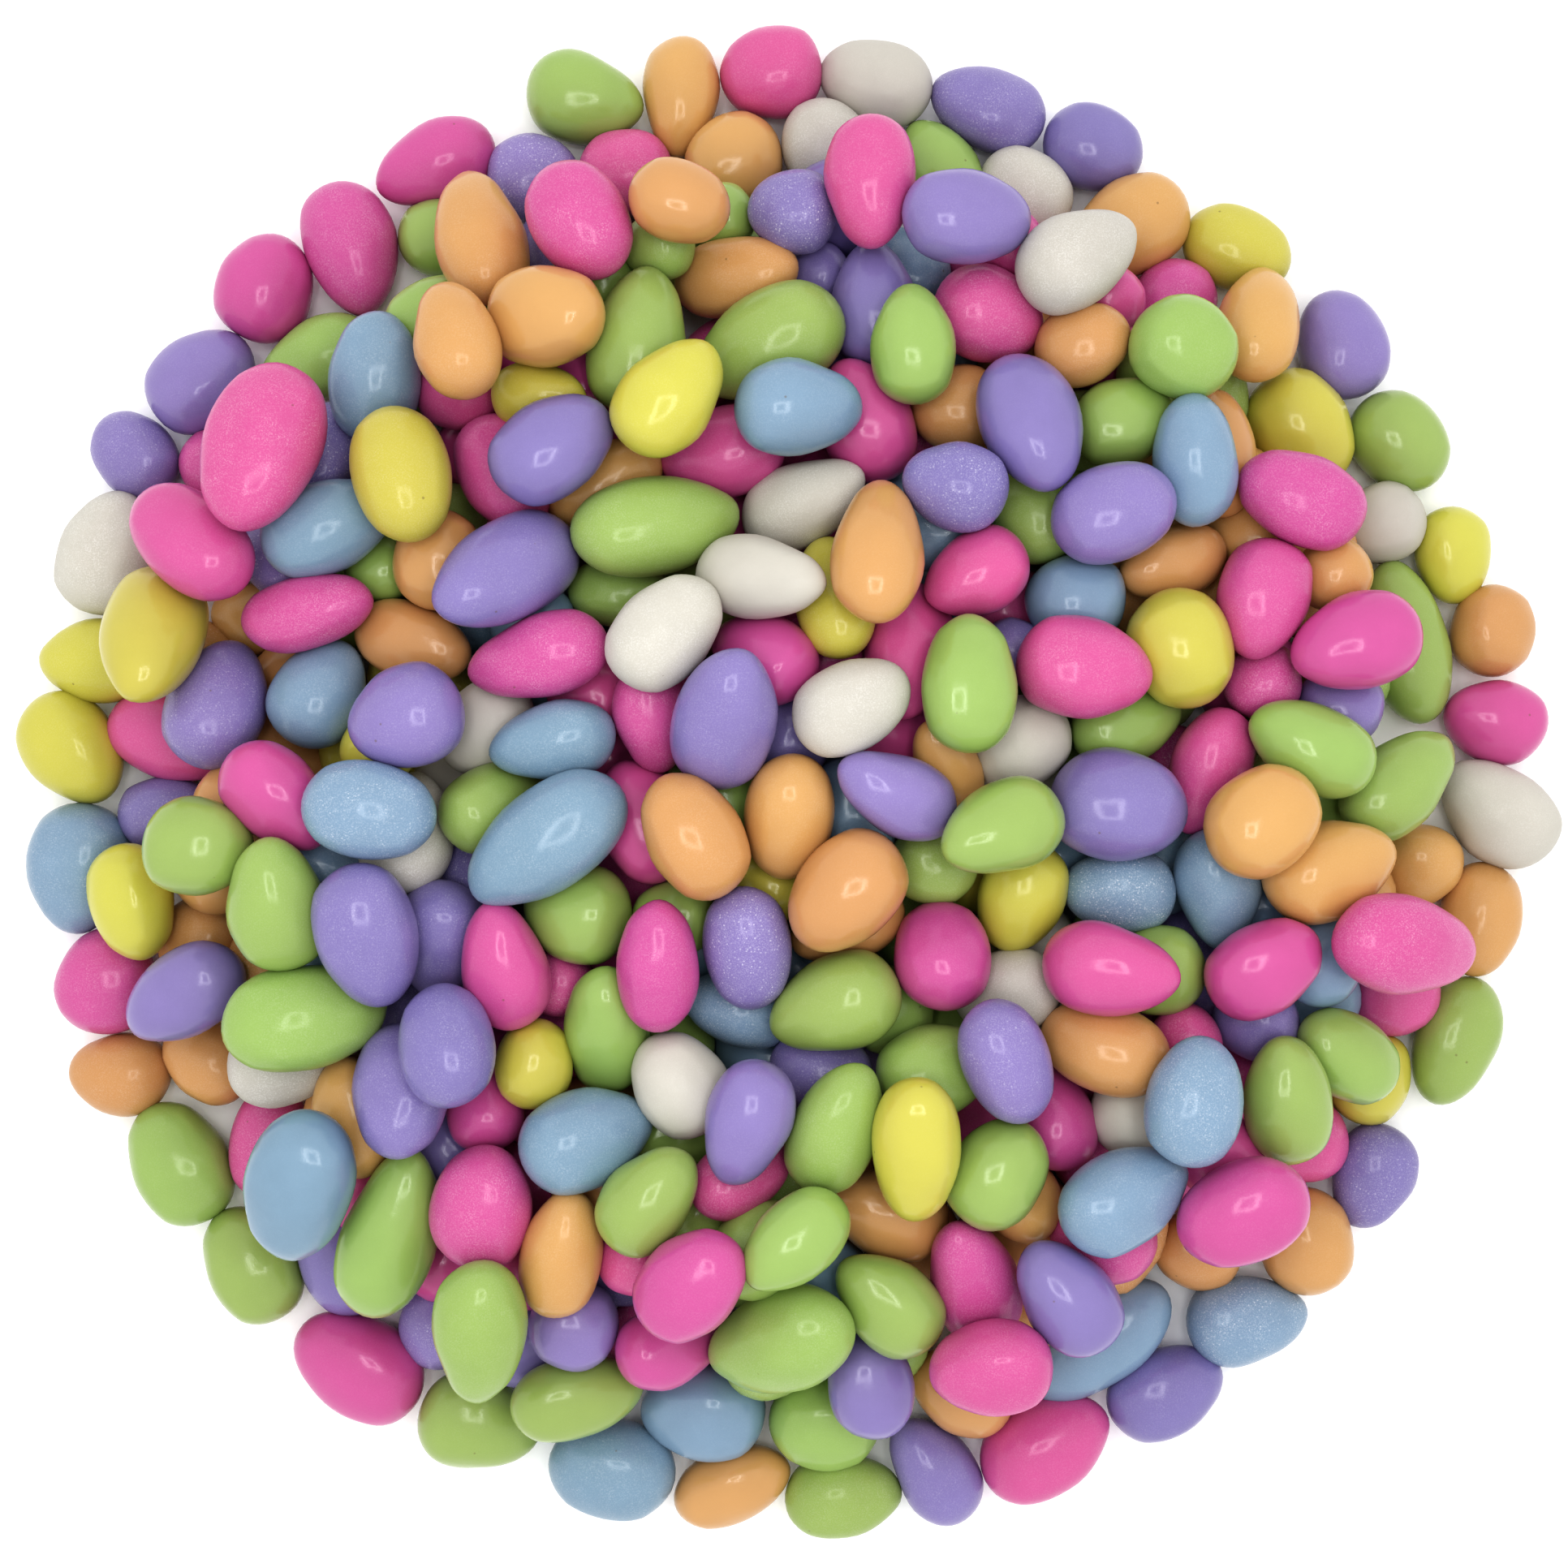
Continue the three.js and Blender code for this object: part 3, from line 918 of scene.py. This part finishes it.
class ALMONDS_OT_add_stage(bpy.types.Operator):
    """Add the floor, the light and the camera"""

    bl_idname = "almonds.add_stage"
    bl_label = "Add Stage"
    bl_options = {"REGISTER", "UNDO"}

    def execute(self, context):
        stage = context.scene.sugared_almond_stage
        add_floor(stage.floor)
        add_daylight(context.scene, stage.daylight)
        add_softbox(stage.softbox_power)
        add_ring(stage.ring_power)
        add_camera(context.scene)
        context.scene.view_settings.view_transform = "Standard"
        context.scene.view_settings.look = "High Contrast"
        return {"FINISHED"}


FLOOR_SIZE = 4.0
RING = 140 * MM  # across the square ring of lamps
RING_WIDTH = 24 * MM
SOFTBOX_SIZE = 1.0
SOFTBOX_PLACE = Vector((0.15, 0.25, 1.3))


def add_floor(colour):
    deselect()
    bpy.ops.mesh.primitive_plane_add(size=FLOOR_SIZE)
    floor = bpy.context.object
    floor.name = "floor"
    material = new_material("matt_white_card")
    shader = add_node(material, "ShaderNodeBsdfPrincipled", {"Base Color": colour, "Roughness": 0.9})
    add_node(material, "ShaderNodeOutputMaterial", links={"Surface": shader.outputs[0]})
    floor.data.materials.append(material)


def add_daylight(scene, strength):
    world = bpy.data.worlds.new("daylight")
    world.use_nodes = True
    background = world.node_tree.nodes["Background"]
    background.inputs["Color"].default_value = (1, 1, 1, 1)
    background.inputs["Strength"].default_value = strength
    scene.world = world


def add_lamp(name, place, size_x, size_y, power):
    bpy.ops.object.light_add(type="AREA", location=place)
    lamp = bpy.context.object
    lamp.name = name
    lamp.visible_camera = False
    lamp.data.shape = "RECTANGLE"
    lamp.data.size = size_x
    lamp.data.size_y = size_y
    lamp.data.energy = power
    return lamp


def add_ring(power):
    """Four strips in a square ring round the camera, which every polished shell mirrors."""
    reach = (RING - RING_WIDTH) / 2
    inner = RING - 2 * RING_WIDTH
    for side in (-reach, reach):
        add_lamp("ring_lamp", CAMERA_PLACE + Vector((side, 0, 0)), RING_WIDTH, inner, power / 4)
        add_lamp("ring_lamp", CAMERA_PLACE + Vector((0, side, 0)), RING, RING_WIDTH, power / 4)


def add_softbox(power):
    """A large lamp that lights the heap softly and is too far off to be mirrored."""
    softbox = add_lamp("softbox", SOFTBOX_PLACE, SOFTBOX_SIZE, SOFTBOX_SIZE, power)
    softbox.rotation_euler = SOFTBOX_PLACE.to_track_quat("Z", "Y").to_euler()
    softbox.visible_glossy = False


def add_camera(scene):
    bpy.ops.object.camera_add(location=CAMERA_PLACE, rotation=(0, 0, 0))
    camera = bpy.context.object
    camera.name = "camera"
    camera.data.sensor_width = SENSOR_WIDTH
    camera.data.lens = FOCAL_LENGTH
    scene.camera = camera


class ALMONDS_PT_panel(bpy.types.Panel):
    """Buttons and settings in the sidebar of the 3D view"""

    bl_idname = "ALMONDS_PT_panel"
    bl_label = "Heap of Sugared Almonds"
    bl_space_type = "VIEW_3D"
    bl_region_type = "UI"
    bl_category = "Almonds"

    def draw(self, context):
        layout = self.layout
        for operator in OPERATORS:
            layout.operator(operator.bl_idname)
        for name in SETTINGS:
            settings = getattr(context.scene, name)
            for setting in settings.__annotations__:
                layout.prop(settings, setting)


OPERATORS = (ALMONDS_OT_add_shown, ALMONDS_OT_add_core, ALMONDS_OT_add_stage)
SETTINGS = {
    "sugared_almond_sizes": SugaredAlmondSizes,
    "sugared_almond_colours": SugaredAlmondColours,
    "sugared_almond_stage": SugaredAlmondStage,
}
CLASSES = (*SETTINGS.values(), *OPERATORS, ALMONDS_PT_panel)


def register():
    for each in CLASSES:
        bpy.utils.register_class(each)
    for name, group in SETTINGS.items():
        setattr(bpy.types.Scene, name, PointerProperty(type=group))


def unregister():
    for name in SETTINGS:
        delattr(bpy.types.Scene, name)
    for each in reversed(CLASSES):
        bpy.utils.unregister_class(each)


def main():
    register()
    bpy.ops.almonds.add_shown()
    bpy.ops.almonds.add_core()
    bpy.ops.almonds.add_stage()


if __name__ == "__main__":
    main()
